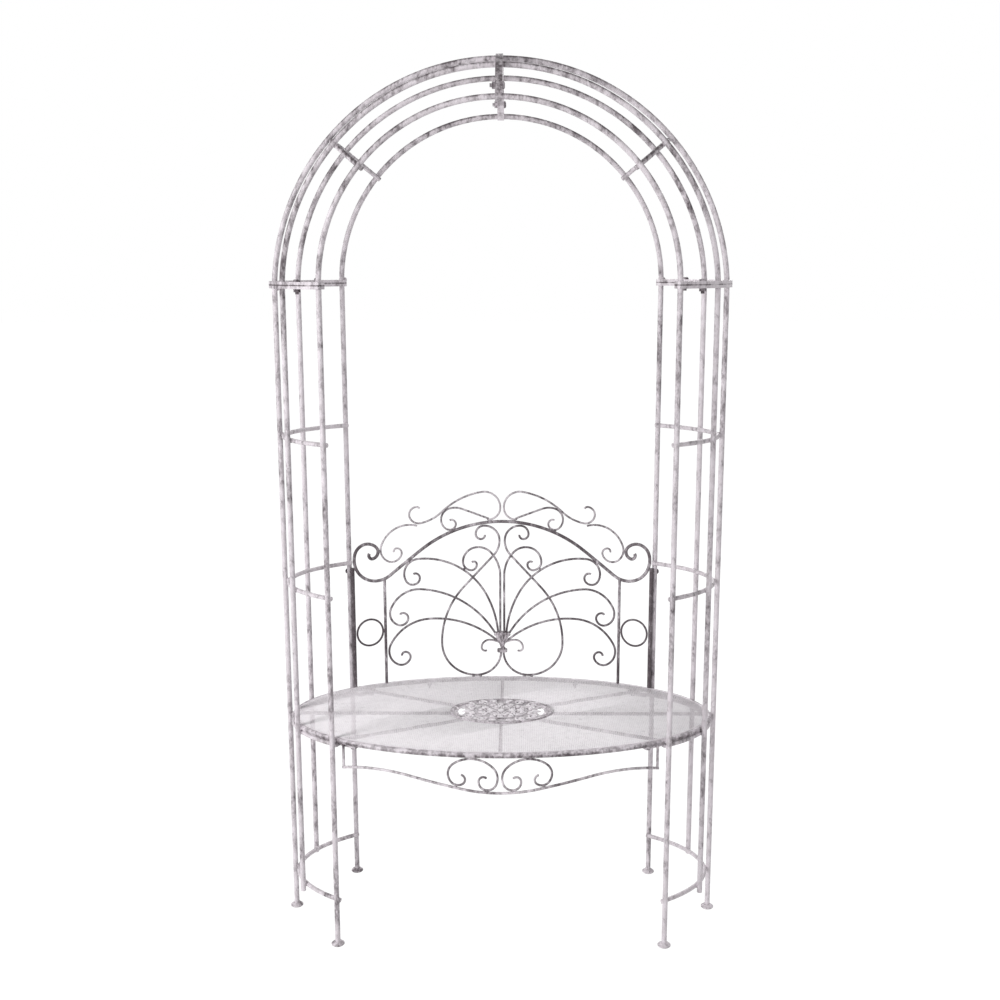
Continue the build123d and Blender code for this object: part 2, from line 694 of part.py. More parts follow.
plain_ring_tabs = tab_pair(SEAT_RING_OVERHANG / 2, TAB_TOP - TAB_THICKNESS)
with BuildPart() as ring_tabs:
    add(plain_ring_tabs.part)
    add(rings["seat_ring"].part, mode=Mode.SUBTRACT)
save_group(ring_tabs, "ring_tabs")

with BuildPart() as seat_bolt:
    head_top = TAB_TOP - 2 * TAB_THICKNESS
    with Locations((0, 0, head_top)):
        Cylinder(SMALL_BOLT, SEAT_BOLT_LENGTH, align=(Align.CENTER, Align.CENTER, Align.MIN))
    with BuildSketch(Plane.XY.offset(head_top - SMALL_HEAD_HEIGHT)):
        RegularPolygon(HEX_RADIUS, 6)
    extrude(amount=SMALL_HEAD_HEIGHT)
with BuildPart() as right_seat_bolts:
    with Locations(*[(spot.X, spot.Y, 0) for spot in tab_spots]):
        add(seat_bolt.part)
save_group(right_seat_bolts, "seat_bolts")

# Apron under the front rim
apron_rail_half = rolled_stations(APRON_RAIL_HALF, RIM_INSET, front=True)
apron_rail = bent_bar(mirrored_through(apron_rail_half), APRON_BAR)
save(apron_rail, "apron_rail")
post_angle = -oval_angle(APRON_POST_REACH - APRON_BAR, RIM_INSET)
post_bottom = apron_rail_half[-1][0].Z + 2 * APRON_BAR / 3
plain_apron_post = upright(post_angle, RIM_INSET, post_bottom, RIM_HEIGHT, APRON_BAR)
with BuildPart() as apron_post:
    add(plain_apron_post.part)
    add(apron_rail.part, mode=Mode.SUBTRACT)
    add(seat_rim.part, mode=Mode.SUBTRACT)
save_group(apron_post, "apron_posts")
save_group(bent_bar(rolled_stations(APRON_SCROLL, RIM_INSET, front=True), CREST), "apron_scrolls")

# Backrest frame: posts bolted to the rear legs, slats, top rail and side rings
top_rail = bent_bar(mirrored_through(rolled_stations(TOP_RAIL_HALF, BACK_INSET)), TOP_RAIL)
save(top_rail, "top_rail")

plain_back_post = vertical_bar(post_place, RIM_HEIGHT, BACK_POST_TOP, BACK_POST)
with BuildPart() as back_post:
    add(plain_back_post.part)
    add(seat_rim.part, mode=Mode.SUBTRACT)
    add(top_rail.part, mode=Mode.SUBTRACT)
    with Locations(back_bolt_place(-POST_OFFSET - BACK_POST / 2).location):
        Cylinder(
            SMALL_HOLE,
            2 * BACK_POST,
            align=(Align.CENTER, Align.CENTER, Align.MIN),
            mode=Mode.SUBTRACT,
        )
save_group(back_post, "back_posts")

rail_line = bend_stations(TOP_RAIL_HALF, RAIL_STEP)
slat_top = next(height for distance, height, _ in rail_line if distance > BACK_SLAT_REACH)
plain_back_slat = upright(slat_angle, BACK_INSET, RIM_HEIGHT + RIM / 2, slat_top, BACK_SLAT)
with BuildPart() as back_slat:
    add(plain_back_slat.part)
    add(seat_rim.part, mode=Mode.SUBTRACT)
    add(top_rail.part, mode=Mode.SUBTRACT)
save_group(back_slat, "back_slats")

back_post_reach = oval_distance(LEG_ANGLE, BACK_INSET) - POST_OFFSET * math.sin(math.radians(POST_TURN))
side_ring_angle = oval_angle((BACK_SLAT_REACH + BACK_SLAT + back_post_reach - BACK_POST) / 2, BACK_INSET)
side_ring_radius = (back_post_reach - BACK_POST - BACK_SLAT_REACH - BACK_SLAT) / 2 - CREST - WELD_GAP
side_ring_place, side_ring_along = oval_point(side_ring_angle, BACK_INSET)
side_ring_centre = Vector(side_ring_place.X, side_ring_place.Y, SIDE_RING_HEIGHT)
side_ring_plane = Plane(origin=side_ring_centre, z_dir=(side_ring_along.Y, -side_ring_along.X, 0))
with BuildPart() as side_ring:
    with Locations(side_ring_plane.location):
        Torus(side_ring_radius, CREST)
save_group(side_ring, "side_rings")

# Calyx at the foot of the fan, cast with its two curls, and the collar under it
centre_depth = HALF_DEPTH - BACK_INSET
with BuildPart() as calyx:
    with BuildSketch(Plane.XZ.offset(-centre_depth)):
        with BuildLine():
            side = Spline(
                (CALYX_FOOT_WIDTH / 2, CALYX_FOOT),
                (CALYX_WAIST_WIDTH / 2, CALYX_WAIST),
                (CALYX_WIDTH / 2, CALYX_TOP),
                tangents=((0, 1), (CALYX_FLARE, 1)),
            )
            Line(side @ 1, (0, CALYX_TOP))
            Line((0, CALYX_TOP), (0, CALYX_FOOT))
            Line((0, CALYX_FOOT), side @ 0)
        make_face()
        mirror(about=Plane.YZ)
    extrude(amount=CALYX_DEPTH / 2, both=True)
    calyx_curl = rolled_stations(CALYX_CURL, BACK_INSET)
    sweep(round_section(calyx_curl[0], CREST), path=bend_path(calyx_curl))
    mirror(about=Plane.YZ)
save(calyx, "calyx")

with BuildPart() as collar:
    with BuildSketch(Plane.XZ.offset(-centre_depth)):
        with Locations((0, CALYX_FOOT - COLLAR_HEIGHT / 2)):
            SlotOverall(COLLAR_WIDTH, COLLAR_HEIGHT)
    extrude(amount=COLLAR_DEPTH / 2, both=True)
save(collar, "collar")

# Scrolls of the backrest
for name, scroll in (
    ("fan_centre", FAN_CENTRE),
    ("fan_high", FAN_HIGH),
    ("fan_mid", FAN_MID),
    ("fan_low", FAN_LOW),
):
    plain_fan = bent_bar(rolled_stations(scroll, BACK_INSET), SCROLL)
    with BuildPart() as fan:
        add(plain_fan.part)
        add(calyx.part, mode=Mode.SUBTRACT)
    save_group(fan, name)
save_group(bent_bar(rolled_stations(HEART_LOOP, LOOP_INSET), SCROLL), "heart_loops")
with BuildPart() as crest_scroll:
    for scroll in (CREST_LOOP, CREST_TAIL):
        add(bent_bar(rolled_stations(scroll, BACK_INSET), CREST).part)
save_group(crest_scroll, "crest_scrolls")
save_group(bent_bar(rolled_stations(CREST_CURL, CURL_INSET), CREST), "crest_curls")

# Bolts through the rear legs, screwed into the back posts
bolt_end = -POST_OFFSET - BACK_POST / 2
with BuildPart() as back_bolt:
    with Locations((0, 0, bolt_end)):
        Cylinder(SMALL_BOLT, ROD - bolt_end, align=(Align.CENTER, Align.CENTER, Align.MIN))
    with Locations((0, 0, ROD)):
        Cylinder(SMALL_HEAD, SMALL_HEAD_HEIGHT, align=(Align.CENTER, Align.CENTER, Align.MIN))
    fillet(back_bolt.edges().sort_by(Axis.Z)[-1], SMALL_HEAD_HEIGHT - HEAD_FLAT)
with BuildPart() as right_back_bolt:
    with Locations(back_bolt_hole.location):
        add(back_bolt.part)
save_group(right_back_bolt, "back_bolts")
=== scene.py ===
"""Looks of the garden arch bench: distressed paint, pierced seat, rosette relief and weld beads."""

import json
import math
import random
from collections import namedtuple

import bpy
import numpy as np
from mathutils import Matrix, Vector, noise


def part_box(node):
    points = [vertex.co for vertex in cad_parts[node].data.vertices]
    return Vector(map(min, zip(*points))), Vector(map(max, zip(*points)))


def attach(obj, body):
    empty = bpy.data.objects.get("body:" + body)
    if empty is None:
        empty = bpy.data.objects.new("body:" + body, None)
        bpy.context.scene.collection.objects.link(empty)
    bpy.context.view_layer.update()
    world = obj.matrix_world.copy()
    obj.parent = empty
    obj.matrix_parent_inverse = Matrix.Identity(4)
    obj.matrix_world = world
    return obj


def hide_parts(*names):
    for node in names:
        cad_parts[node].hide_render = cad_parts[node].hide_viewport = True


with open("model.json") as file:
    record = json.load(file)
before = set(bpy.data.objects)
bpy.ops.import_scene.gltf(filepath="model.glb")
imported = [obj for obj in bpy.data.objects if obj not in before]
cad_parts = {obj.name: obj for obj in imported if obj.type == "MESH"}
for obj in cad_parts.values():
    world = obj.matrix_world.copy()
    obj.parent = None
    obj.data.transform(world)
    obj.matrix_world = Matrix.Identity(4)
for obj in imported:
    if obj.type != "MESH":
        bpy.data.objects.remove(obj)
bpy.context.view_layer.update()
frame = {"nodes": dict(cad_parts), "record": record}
SLOTS = {subpart["node"]: subpart["material_slot"] for subpart in frame["record"]["subparts"]}

# Camera of the photograph, in metres, degrees and millimetres of lens
CAMERA_PLACE = Vector((0.0357, -2.7546, 1.5408))
CAMERA_PITCH = 10.933
CAMERA_YAW = 0.776
CAMERA_ROLL = 0.139
CAMERA_LENS = 44.2
SENSOR_WIDTH = 36.0

# Paint colours, linear
SEAT = (0.86, 0.82, 0.85)
CREAM = (0.80, 0.76, 0.79)
PALE = (0.71, 0.66, 0.70)
WARM = (0.60, 0.555, 0.585)
GREY = (0.31, 0.28, 0.30)
DARK = (0.115, 0.092, 0.104)
DEEP = (0.045, 0.036, 0.041)

# Painted shade about the seam between the bolted flanges, standing in for the shadow in the gap between
# them, in metres from the seam
FLANGE_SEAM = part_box("left_panel_flange")[1].z
SEAM_DARK = 0.0005
SEAM_SHADE_END = 0.0022
SEAM_SHADE_AMOUNT = 0.11

# Paint in two tones over a dark primer. bare is the share worn back to the primer, softness the blur of its
# edges, top_wear the painted shade on upper sides (a painted highlight where it is below 0), and seam the
# height of a seam with painted shade along it, if there is one.
Paint = namedtuple("Paint", "tone second_tone primer bare softness top_wear seam", defaults=(0.0, None))
PAINTS = {
    "frame_paint": Paint(PALE, WARM, DARK, -0.065, 0.10),
    "rail_paint": Paint(PALE, WARM, DARK, -0.01, 0.10),
    "scrollwork_paint": Paint(PALE, GREY, DARK, 0.015, 0.10),
    "seat_paint": Paint(SEAT, CREAM, WARM, -0.15, 0.14),
    "hardware_paint": Paint(PALE, GREY, DARK, 0.01, 0.08),
    "feet_paint": Paint(PALE, WARM, DARK, -0.03, 0.08),
    # Flanges get painted shade along the seam between them
    "flange_paint": Paint(PALE, WARM, DARK, -0.065, 0.10, seam=FLANGE_SEAM),
    # Hoops, the calyx and the collar get painted shade on their upper sides
    "hoop_paint": Paint(PALE, WARM, DARK, -0.045, 0.10, top_wear=0.10),
    # The seat rim gets a painted highlight on its upper side, which leaves its underside darker
    "rim_paint": Paint(PALE, GREY, DARK, 0.0, 0.09, top_wear=-0.14),
    "rib_paint": Paint(PALE, GREY, DARK, -0.01, 0.09),
    "rosette_band_paint": Paint(PALE, GREY, DARK, -0.05, 0.10),
    # The rosette's plate is painted darker than its relief, as painted shade in the recesses
    "rosette_recess_shade_paint": Paint(PALE, WARM, GREY, -0.03, 0.10),
    "top_rail_paint": Paint(PALE, GREY, DARK, 0.035, 0.12),
    "worn_paint": Paint(WARM, GREY, DARK, 0.085, 0.10),
}
SLOT_PAINTS = {
    "frame": "frame_paint",
    "rails": "rail_paint",
    "scrollwork": "scrollwork_paint",
    "seat_panel": "seat_paint",
    "hardware": "hardware_paint",
    "feet": "feet_paint",
}

# Nodes that are worn more or less than the rest of their slot, or carry painted shade or a painted
# highlight
NODE_PAINTS = {
    "seat_rim": "rim_paint",
    "seat_ribs": "rib_paint",
    "seat_tabs": "rib_paint",
    # Painted shade in the recesses of the rosette's relief
    "seat_rosette": "rosette_recess_shade_paint",
    "top_rail": "top_rail_paint",
    "back_posts": "worn_paint",
    "side_rings": "worn_paint",
    "calyx": "hoop_paint",
    "collar": "hoop_paint",
}
HOOP_WORDS = ("hoop", "crown_bar", "cross_bar")

# Noise in the paint. Its brush streaks are drawn out up and down.
Layer = namedtuple("Layer", "scale detail roughness")
BLOTCHES = Layer(52.0, 5.0, 0.66)
STREAKS = Layer(150.0, 4.0, 0.7)
SPECKLE = Layer(520.0, 2.0, 0.6)
BROAD = Layer(7.0, 1.0, 0.5)
TINT = Layer(90.0, 3.0, 0.6)
STREAK_STRETCH = 0.5
BLOTCH_SHARE = 0.46
STREAK_SHARE = 0.26
BROAD_SHARE = 0.20
SPECKLE_SHARE = 0.08
MIDDLE_TONE = 0.5
TOP_FACING = 0.9
TINT_RANGE = (0.35, 0.65)
SPECKLE_RANGE = (0.35, 0.7)
PRIMER_ROUGHNESS = 0.62
PAINT_ROUGHNESS = 0.46
PAINT_SPECULAR = 0.35
STREAK_RELIEF = 0.8
BUMP_STRENGTH = 0.5
BUMP_DEPTH = 0.0006

# Pierced seat sheet, in metres
DIAMOND_LENGTH = 0.0084
DIAMOND_WIDTH = 0.0044
STRAND_WIDTH = 0.00095
STRAND_THICKNESS = 0.0005
STRAND_STAGGER = STRAND_THICKNESS / 3
STRAND_TILT = math.radians(14)
EDGE_WIRE = 0.0011
EDGE_STEPS = 160
ROSETTE_LAP = 0.003

# Sides of a thin wire's mesh
WIRE_SIDES = 6

# A raised boss of a casting: half its length and width, its rise, and how far it is drawn to a point
Boss = namedtuple("Boss", "length width rise point", defaults=(0.0,))
X_WAY = Vector((1, 0, 0))

# Rosette, in metres
PLATE_THICKNESS = 0.002
BOSS_SINK = 0.0005
BAND_WIDTH = 0.009
BAND_BEADS = 52
BAND_BEAD = Boss(0.0031, 0.0031, 0.0014)
BAND_BEAD_SPOKES = 10
BAND_EDGE = 0.0010
BAND_STEPS = 120
CURL_POINTS = 28
CURL_TURNS = 1.3
CURL_END = 0.22
CURL_BAR = 0.0022
CURL_THINNING = 0.0010
CURL_EYE = Boss(0.0032, 0.0032, 0.0032)
HEART = Boss(0.0088, 0.0088, 0.0040)
HEART_RINGS = 7
HEART_SPOKES = 20
PETALS = 8
VEIN_REACHES = (0.011, 0.020, 0.029, 0.034)
VEIN_RADII = [0.0010, 0.0012, 0.0009, 0.0005]
TIP_LEAF = Boss(0.0125, 0.0100, 0.0045, 0.9)
TIP_REACH = 0.082
TIP_SINK = 0.0022
SIDE_LEAF = Boss(0.0085, 0.0040, 0.0032, 0.8)
SIDE_LEAF_REACH = 0.1045
SIDE_LEAF_STEP = 0.018
SIDE_LEAF_WAY = (0.55, 0.84)
SIDE_LEAF_SINK = 0.0006

# Large scrolls in one quarter of the rosette: middle, size, first angle and turns
SCROLLS = [
    (0.076, 0.037, 0.017, 0.6, 1.5),
    (0.046, 0.054, 0.013, 3.6, -1.4),
    (0.018, 0.060, 0.009, 0.2, 1.3),
    (0.068, 0.012, 0.008, 2.4, -1.3),
]

# Rings of small curls about the flower: count, reach along and across the oval, size
CURL_RINGS = [
    (8, 0.029, 0.026, 0.0080),
    (14, 0.049, 0.039, 0.0090),
]

# Calyx, in metres: lean and reach of each leaf, its thickness, and the row of beads over the leaves
CALYX_LEAVES = [(0, 0.042), (-0.012, 0.038), (0.012, 0.038)]
LEAF_STEPS = 8
LEAF_FOOT = 0.003
LEAF_STANDOFF = 0.00024
LEAF_BEND = 1.6
LEAF_BASE = 0.6
LEAF_THIN = 0.0012
LEAF_SWELL = 0.0026
CALYX_BEADS = 5
CALYX_BEAD = 0.0026
CALYX_BEAD_HEIGHT = 0.044
CALYX_BEAD_SPACING = 0.0085
CALYX_BEAD_DROP = 0.0012

# Weld beads, in metres
SAMPLE_STEP = 0.0012
CONTACT_CELL = 0.002
WELD_SPACING = 0.014
FRAME_WELD = 0.0052
SCROLL_WELD = 0.0034
WELD_RINGS = 6
WELD_SPOKES = 9
WELD_STRETCH = 0.15
WELD_LUMP = 0.22
WELD_LUMP_SCALE = 420

# Words in the names of nodes that bolts hold to each other, and nodes that have no weld bead
BOLTED = ("panel_flange", "arch_flange", "crown_bar", "ring_tabs", "seat_tabs")
LOOSE = ("seat_mesh", "seat_rosette", "feet", "back_bolts", "seat_bolts", "flange_bolts", "flange_nuts")

# Stage and light, in metres and watts
FLOOR_REACH = 30.0
FLOOR_DROP = 0.0005
FLOOR_WHITE = 0.86
FLOOR_LIT_SHARE = 0.12
FLOOR_GLOW = 1.12
AMBIENT = 0.55
Lamp = namedtuple("Lamp", "place aim size power")
LAMPS = {
    "key": Lamp((-3.6, -3.0, 2.2), (0, 0, 0.9), 1.6, 150),
    "fill": Lamp((3.4, -3.0, 2.2), (0, 0, 0.9), 2.5, 28),
    "back": Lamp((0.6, 3.6, 3.0), (0, 0, 1.0), 2.5, 70),
}

# A bar that rises more steeply than this takes its sides from the Y axis instead of the Z axis
STEEP = 0.9

RANDOM_SEED = 7
random.seed(RANDOM_SEED)


# Node helpers

def emptied(owner):
    """The node tree of a material or a world, with no nodes in it."""
    owner.use_nodes = True
    owner.node_tree.nodes.clear()
    return owner.node_tree


def add_node(tree, kind, **settings):
    node = tree.nodes.new(kind)
    for name, value in settings.items():
        setattr(node, name, value)
    return node


def noise_node(tree, vector, layer):
    node = add_node(tree, "ShaderNodeTexNoise")
    node.inputs["Scale"].default_value = layer.scale
    node.inputs["Detail"].default_value = layer.detail
    node.inputs["Roughness"].default_value = layer.roughness
    tree.links.new(vector, node.inputs["Vector"])
    return node.outputs["Fac"]


def math_node(tree, operation, first, second):
    node = add_node(tree, "ShaderNodeMath", operation=operation)
    for socket, value in zip(node.inputs, (first, second)):
        if isinstance(value, (int, float)):
            socket.default_value = value
        else:
            tree.links.new(value, socket)
    return node.outputs[0]


def range_node(tree, value, low, high, out_low=0.0, out_high=1.0):
    node = add_node(tree, "ShaderNodeMapRange", interpolation_type="SMOOTHSTEP")
    tree.links.new(value, node.inputs["Value"])
    for name, number in (("From Min", low), ("From Max", high), ("To Min", out_low), ("To Max", out_high)):
        node.inputs[name].default_value = number
    return node.outputs["Result"]


def mix_colour(tree, factor, first, second):
    node = add_node(tree, "ShaderNodeMix", data_type="RGBA")
    tree.links.new(factor, node.inputs["Factor"])
    colour_sockets = [s for s in node.inputs if s.type == "RGBA"]
    for socket, value in zip(colour_sockets, (first, second)):
        if isinstance(value, tuple):
            socket.default_value = (*value, 1.0)
        else:
            tree.links.new(value, socket)
    return next(s for s in node.outputs if s.type == "RGBA")


def painted_top_shading(tree, top_wear):
    """Painted shade on sides that face up; a share below 0 paints them lighter, as a painted highlight."""
    facing = add_node(tree, "ShaderNodeSeparateXYZ")
    tree.links.new(add_node(tree, "ShaderNodeNewGeometry").outputs["Normal"], facing.inputs["Vector"])
    return range_node(tree, facing.outputs["Z"], 0.0, TOP_FACING, 0.0, top_wear)


def painted_seam_shade(tree, coordinates, seam):
    """Painted shade close to the height of a seam."""
    level = add_node(tree, "ShaderNodeSeparateXYZ")
    tree.links.new(coordinates, level.inputs["Vector"])
    above = math_node(tree, "SUBTRACT", level.outputs["Z"], seam)
    away = math_node(tree, "MAXIMUM", above, math_node(tree, "MULTIPLY", above, -1.0))
    return range_node(tree, away, SEAM_DARK, SEAM_SHADE_END, SEAM_SHADE_AMOUNT, 0.0)


def distressed_paint(name, paint):
    """Pale paint brushed over dark primer and worn back, with painted shade on upper sides and along a
    seam.
    """
    material = bpy.data.materials.new(name)
    tree = emptied(material)
    coordinates = add_node(tree, "ShaderNodeTexCoord").outputs["Object"]
    stretch = add_node(tree, "ShaderNodeMapping")
    stretch.inputs["Scale"].default_value = (1.0, 1.0, STREAK_STRETCH)
    tree.links.new(coordinates, stretch.inputs["Vector"])
    place = stretch.outputs["Vector"]
    streaks = noise_node(tree, place, STREAKS)
    speckle = noise_node(tree, place, SPECKLE)
    shares = [
        (noise_node(tree, place, BLOTCHES), BLOTCH_SHARE),
        (streaks, STREAK_SHARE),
        (noise_node(tree, place, BROAD), BROAD_SHARE),
        (speckle, SPECKLE_SHARE),
    ]
    wear_and_shade = 0.0
    for layer, share in shares:
        wear_and_shade = math_node(tree, "ADD", wear_and_shade, math_node(tree, "MULTIPLY", layer, share))
    # Painted shade on sides that face up, or a painted highlight on them where the share is below 0
    wear_and_shade = math_node(tree, "SUBTRACT", wear_and_shade, painted_top_shading(tree, paint.top_wear))
    # Painted shade along the seam, where the gap between the flanges would be shaded
    if paint.seam is not None:
        wear_and_shade = math_node(tree, "SUBTRACT", wear_and_shade, painted_seam_shade(tree, coordinates, paint.seam))
    edge = MIDDLE_TONE + paint.bare
    mask = range_node(tree, wear_and_shade, edge - paint.softness, edge + paint.softness)
    tint = range_node(tree, noise_node(tree, place, TINT), *TINT_RANGE)
    primer = mix_colour(tree, range_node(tree, speckle, *SPECKLE_RANGE), paint.primer, DEEP)
    colour = mix_colour(tree, mask, primer, mix_colour(tree, tint, paint.tone, paint.second_tone))
    bump = add_node(tree, "ShaderNodeBump")
    bump.inputs["Strength"].default_value = BUMP_STRENGTH
    bump.inputs["Distance"].default_value = BUMP_DEPTH
    height = math_node(tree, "ADD", mask, math_node(tree, "MULTIPLY", streaks, STREAK_RELIEF))
    tree.links.new(height, bump.inputs["Height"])
    shader = add_node(tree, "ShaderNodeBsdfPrincipled")
    shader.inputs["Specular IOR Level"].default_value = PAINT_SPECULAR
    tree.links.new(colour, shader.inputs["Base Color"])
    roughness = range_node(tree, mask, 0.0, 1.0, PRIMER_ROUGHNESS, PAINT_ROUGHNESS)
    tree.links.new(roughness, shader.inputs["Roughness"])
    tree.links.new(bump.outputs["Normal"], shader.inputs["Normal"])
    output = add_node(tree, "ShaderNodeOutputMaterial")
    tree.links.new(shader.outputs["BSDF"], output.inputs["Surface"])
    return material


MATERIALS = {name: distressed_paint(name, paint) for name, paint in PAINTS.items()}


def node_paint(node):
    """The name of the paint that a node of the frame has."""
    if any(word in node for word in HOOP_WORDS):
        return "hoop_paint"
    if node.endswith("_flange"):
        return "flange_paint"
    return NODE_PAINTS.get(node, SLOT_PAINTS[SLOTS[node]])


def paint_frame():
    for node in SLOTS:
        materials = frame["nodes"][node].data.materials
        materials.clear()
        materials.append(MATERIALS[node_paint(node)])


# Mesh helpers

class Shape:
    """Vertices and faces gathered for one mesh."""

    def __init__(self):
        self.points = []
        self.faces = []

    def add(self, points, faces):
        start = len(self.points)
        self.points.extend(points)
        self.faces.extend([tuple(start + i for i in face) for face in faces])

    def piece(self, name, slot, paint=None):
        """The mesh as a piece on the one body, in its slot's paint or in one of its own."""
        mesh = bpy.data.meshes.new(name)
        mesh.from_pydata([tuple(p) for p in self.points], [], self.faces)
        mesh.validate()
        mesh.polygons.foreach_set("use_smooth", [True] * len(mesh.polygons))
        mesh.materials.append(MATERIALS[paint or SLOT_PAINTS[slot]])
        obj = bpy.data.objects.new(name, mesh)
        bpy.context.scene.collection.objects.link(obj)
        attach(obj, "root")
        return obj


def tube(shape, path, radii, sides=8, closed=False):
    """A round bar along a path, of one radius or of one at each point."""
    count = len(path)
    points = []
    for i, place in enumerate(path):
        before = path[(i - 1) % count] if closed or i else place
        after = path[(i + 1) % count] if closed or i < count - 1 else place
        along = (after - before).normalized()
        steep = abs(along.z) > STEEP
        side = along.cross(Vector((0, 1, 0)) if steep else Vector((0, 0, 1))).normalized()
        up = side.cross(along)
        radius = radii[i] if isinstance(radii, list) else radii
        for k in range(sides):
            turn = math.tau * k / sides
            points.append(place + side * radius * math.cos(turn) + up * radius * math.sin(turn))
    faces = []
    for i in range(count if closed else count - 1):
        here = i * sides
        there = (i + 1) % count * sides
        for k in range(sides):
            faces.append((here + k, here + (k + 1) % sides, there + (k + 1) % sides, there + k))
    if not closed:
        faces.append(tuple(range(sides)))
        faces.append(tuple(reversed(range((count - 1) * sides, count * sides))))
    shape.add(points, faces)


def dome(shape, centre, along, boss, rings=5, spokes=16):
    """A low cast boss, drawn out to a point at its far end."""
    across = Vector((-along.y, along.x, 0))
    points = []
    for ring in range(rings):
        out = 1 - ring / rings
        height = boss.rise * math.sqrt(1 - out**2)
        for k in range(spokes):
            turn = math.tau * k / spokes
            pull = 1 - boss.point * (1 + math.cos(turn)) / 2
            reach = boss.length * out * math.cos(turn)
            spread = boss.width * out * math.sin(turn) * pull
            points.append(centre + along * reach + across * spread + Vector((0, 0, height)))
    points.append(centre + Vector((0, 0, boss.rise)))
    faces = [tuple(reversed(range(spokes)))]
    for ring in range(rings - 1):
        here = ring * spokes
        there = here + spokes
        for k in range(spokes):
            beside = (k + 1) % spokes
            faces.append((here + k, here + beside, there + beside, there + k))
    last = (rings - 1) * spokes
    for k in range(spokes):
        faces.append((last + k, last + (k + 1) % spokes, len(points) - 1))
    shape.add(points, faces)


def oval_ring(half_x, half_y, height, count):
    """Points round a level oval about the origin."""
    ring = []
    for k in range(count):
        turn = math.tau * k / count
        ring.append(Vector((half_x * math.cos(turn), half_y * math.sin(turn), height)))
    return ring


# Seat sheet: expanded steel, two families of slanting strands between the rim and the rosette

def oval_crossings(half_x, half_y, start, along):
    """Where a straight line meets an oval about the origin, as two distances along it, or None."""
    a = (along.x / half_x) ** 2 + (along.y / half_y) ** 2
    b = 2 * (start.x * along.x / half_x**2 + start.y * along.y / half_y**2)
    c = (start.x / half_x) ** 2 + (start.y / half_y) ** 2 - 1
    under = b * b - 4 * a * c
    if under <= 0:
        return None
    root = math.sqrt(under)
    return (-b - root) / (2 * a), (-b + root) / (2 * a)


def strand(shape, ends, across, tilt, height):
    """One flat strand, turned a little about its own line as expanding leaves it."""
    side = across * STRAND_WIDTH / 2
    lean = Vector((0, 0, math.sin(tilt) * STRAND_WIDTH / 2))
    thick = Vector((0, 0, STRAND_THICKNESS / 2))
    level = Vector((0, 0, height))
    points = []
    for place in ends:
        for sign, lift in ((-1, -1), (1, -1), (1, 1), (-1, 1)):
            points.append(place + level + sign * side + sign * lean + lift * thick)
    faces = [(0, 1, 2, 3), (7, 6, 5, 4)]
    for k in range(4):
        faces.append((k, k + 4, (k + 1) % 4 + 4, (k + 1) % 4))
    shape.add(points, faces)


def seat_sheet():
    """Fine expanded sheet in place of the frame's plain grid, with a wire round each of its two edges."""
    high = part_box("seat_mesh")[1]
    half_x = high.x - EDGE_WIRE
    half_y = high.y - EDGE_WIRE
    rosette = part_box("seat_rosette")[1]
    hole_x = rosette.x - ROSETTE_LAP
    hole_y = rosette.y - ROSETTE_LAP
    level = high.z - STRAND_THICKNESS
    sheet = Shape()
    for family in (-1, 1):
        along = Vector((DIAMOND_LENGTH, family * DIAMOND_WIDTH, 0)).normalized()
        across = Vector((-along.y, along.x, 0))
        pitch = DIAMOND_LENGTH * abs(along.y)
        reach = math.hypot(half_x * across.x, half_y * across.y)
        count = int(reach / pitch)
        height = level + family * STRAND_STAGGER
        for i in range(-count, count + 1):
            start = across * (i * pitch)
            span = oval_crossings(half_x, half_y, start, along)
            if not span:
                continue
            hole = oval_crossings(hole_x, hole_y, start, along)
            runs = [(span[0], hole[0]), (hole[1], span[1])] if hole else [span]
            for first, last in runs:
                ends = (start + along * first, start + along * last)
                strand(sheet, ends, across, family * STRAND_TILT, height)
    for wide, deep in ((half_x, half_y), (hole_x, hole_y)):
        tube(sheet, oval_ring(wide, deep, level, EDGE_STEPS), EDGE_WIRE, sides=WIRE_SIDES, closed=True)
    piece = sheet.piece("seat_sheet", "seat_panel")
    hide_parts("seat_mesh")


# Rosette: cast relief on the plate, all generic leaves, scrolls and beads

def rosette_band():
    """Beads and two edge wires on the raised border."""
    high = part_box("seat_rosette")[1]
    band = Shape()
    middle = BAND_WIDTH / 2
    for place in oval_ring(high.x - middle, high.y - middle, high.z - BOSS_SINK, BAND_BEADS):
        dome(band, place, X_WAY, BAND_BEAD, spokes=BAND_BEAD_SPOKES)
    for inset in (BAND_EDGE, BAND_WIDTH - BAND_EDGE):
        edge = oval_ring(high.x - inset, high.y - inset, high.z, BAND_STEPS)
        tube(band, edge, BAND_EDGE, sides=WIRE_SIDES, closed=True)
    band.piece("rosette_band", "seat_panel", paint="rosette_band_paint")


def spiral(centre, size, first_angle, turns, height):
    """Points of a scroll that winds in about a centre."""
    points = []
    for k in range(CURL_POINTS):
        share = k / (CURL_POINTS - 1)
        radius = size * CURL_END**share
        angle = first_angle + turns * math.tau * share
        points.append(centre + Vector((radius * math.cos(angle), radius * math.sin(angle), height)))
    return points


def curl(shape, path, eye):
    """A scroll that thins towards its middle, where it ends in a small eye."""
    radii = [CURL_BAR - CURL_THINNING * k / len(path) for k in range(len(path))]
    tube(shape, path, radii)
    dome(shape, eye, X_WAY, CURL_EYE)


def large_scrolls(shape, plate):
    """The scrolls of one quarter, mirrored to all four."""
    for mirror_x in (-1, 1):
        for mirror_y in (-1, 1):
            for x, y, size, start, turns in SCROLLS:
                path = spiral(Vector((x, y, 0)), size, start, turns, plate + CURL_BAR / 2)
                path = [Vector((p.x * mirror_x, p.y * mirror_y, p.z)) for p in path]
                curl(shape, path, Vector((x * mirror_x, y * mirror_y, plate)))


